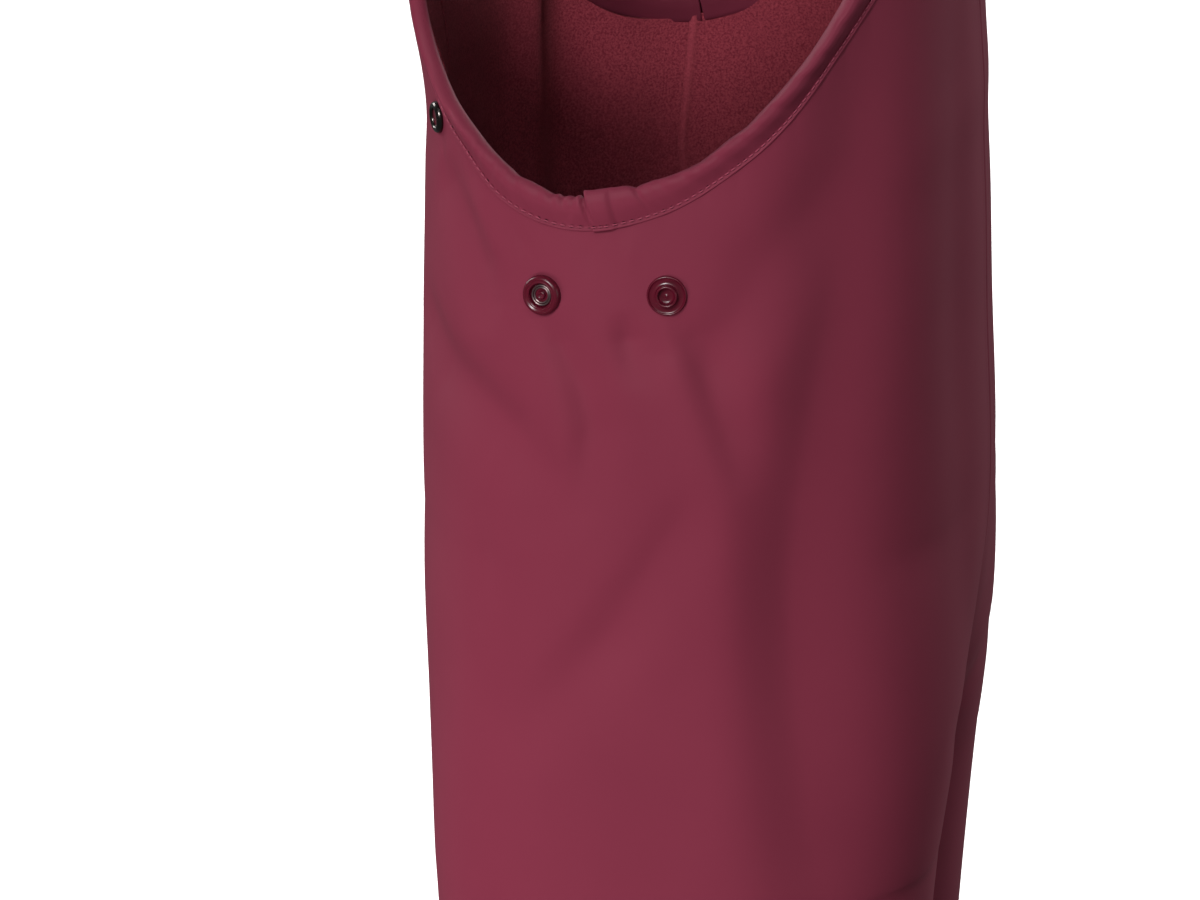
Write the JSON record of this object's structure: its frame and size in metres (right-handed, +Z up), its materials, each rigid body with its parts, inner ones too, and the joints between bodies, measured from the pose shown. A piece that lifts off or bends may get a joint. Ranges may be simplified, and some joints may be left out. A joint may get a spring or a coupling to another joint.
{
  "type": "child's rain dungarees",
  "caption": "Child's fleece-lined rain dungarees, hollow as when worn: bib and high back, elasticated armholes, shoulder straps, side snaps to take in the width, straight legs.",
  "frame": {"origin": "on the shoulder line, midway between the two straps, level with the top of the straps' middle layer where they rest on the shoulders", "axes": "+Z up, -Y the front of the garment, +X the wearer's left side"},
  "size_m": [0.28, 0.207, 0.851],
  "materials": {
    "coated_cloth": "smooth matt satin coating",
    "fleece": "short soft nap",
    "snap_enamel": "gloss",
    "dark_nickel": "polished, dark"
  },
  "bodies": {
    "root": {"outer_left": "coated_cloth", "outer_right": "coated_cloth", "casing_front": "coated_cloth", "casing_back": "coated_cloth", "strap_left": "coated_cloth", "strap_right": "coated_cloth", "lining_front_left": "fleece", "lining_front_right": "fleece", "lining_back_left": "fleece", "lining_back_right": "fleece", "snap_socket_left": "snap_enamel", "snap_socket_right": "snap_enamel", "snap_stud_left": "snap_enamel", "snap_stud_right": "snap_enamel", "bib_snap_left": "dark_nickel", "bib_snap_right": "dark_nickel", "strap_snap_left": "dark_nickel", "strap_snap_right": "dark_nickel"}
  },
  "joints": []
}
